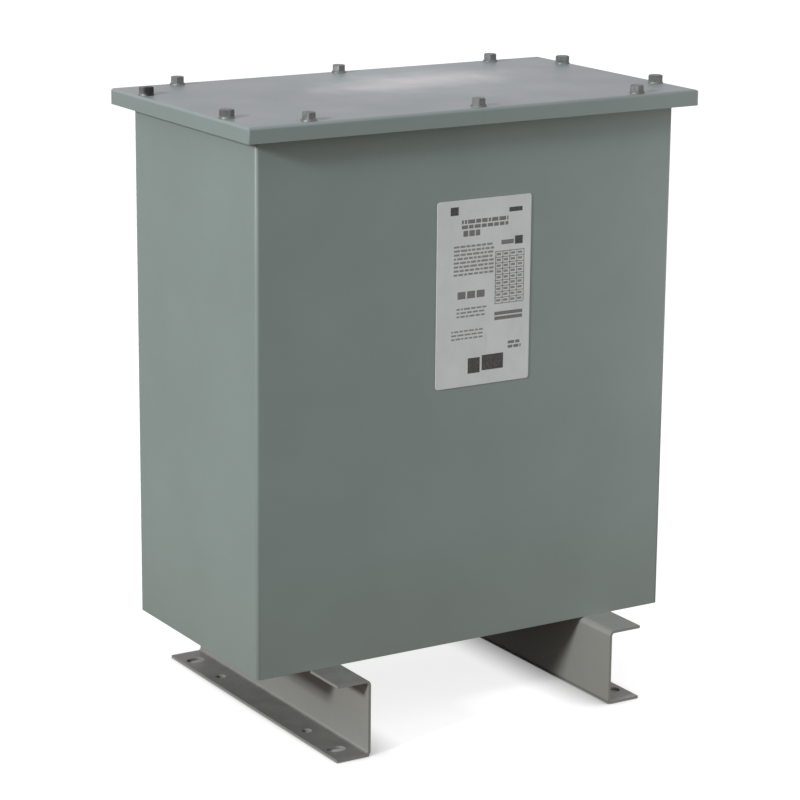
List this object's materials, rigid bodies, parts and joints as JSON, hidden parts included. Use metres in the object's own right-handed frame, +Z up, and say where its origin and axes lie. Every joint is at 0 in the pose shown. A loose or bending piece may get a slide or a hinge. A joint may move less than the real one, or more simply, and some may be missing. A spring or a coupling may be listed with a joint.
{
  "type": "encapsulated distribution transformer",
  "caption": "Resin-filled floor-standing transformer in a folded grey-green steel case, with a bolted lipped lid, a bare rating plate and slotted channel feet.",
  "frame": {"origin": "on the ground, under the middle of the case", "axes": "+X to the right across the front, +Y to the back, +Z up; the rating plate faces -Y"},
  "size_m": [0.531, 0.364, 0.6525],
  "materials": {
    "case_paint": "grey-green enamel, semi-gloss, with a fine orange peel",
    "foot_paint": "grey-green enamel, a little duller and more neutral",
    "plated_fasteners": "dull grey plated steel",
    "plate_face": "white printed face, matt, with plain bars and fields",
    "gasket": "black closed-cell sponge rubber",
    "resin": "black sand-filled casting resin",
    "core_steel": "stacked silicon-steel laminations, blue-grey",
    "clamp_steel": "dark grey primer",
    "insulation": "tan pressboard",
    "winding_copper": "enamelled copper",
    "board_laminate": "red glass-filled laminate",
    "terminal_brass": "bright drawn brass"
  },
  "bodies": {
    "root": {"case_wrap": "case_paint", "back_panel": "case_paint", "bottom_pan": "case_paint", "lid": "case_paint", "lid_gasket": "gasket", "lid_bolts": "plated_fasteners", "lid_nuts": "plated_fasteners", "foot_left": "foot_paint", "foot_right": "foot_paint", "foot_bolts": "plated_fasteners", "foot_nuts": "plated_fasteners", "nameplate": "plate_face", "potting_block": "resin", "core_e_stack": "core_steel", "core_i_yoke": "core_steel", "core_supports": "insulation", "clamp_upper_front": "clamp_steel", "clamp_upper_rear": "clamp_steel", "clamp_lower_front": "clamp_steel", "clamp_lower_rear": "clamp_steel", "clamp_bolts": "plated_fasteners", "clamp_nuts": "plated_fasteners", "coil_former_a": "insulation", "coil_former_b": "insulation", "coil_former_c": "insulation", "lv_coil_a": "winding_copper", "lv_coil_b": "winding_copper", "lv_coil_c": "winding_copper", "winding_barrier_a": "insulation", "winding_barrier_b": "insulation", "winding_barrier_c": "insulation", "hv_coil_a": "winding_copper", "hv_coil_b": "winding_copper", "hv_coil_c": "winding_copper", "terminal_board": "board_laminate", "terminal_studs": "terminal_brass", "terminal_nuts": "terminal_brass", "hv_lead_straps": "winding_copper", "delta_links": "terminal_brass", "lv_bus_bars": "winding_copper", "neutral_bus_bar": "winding_copper", "ground_stud": "terminal_brass", "ground_nuts": "terminal_brass"}
  },
  "joints": []
}
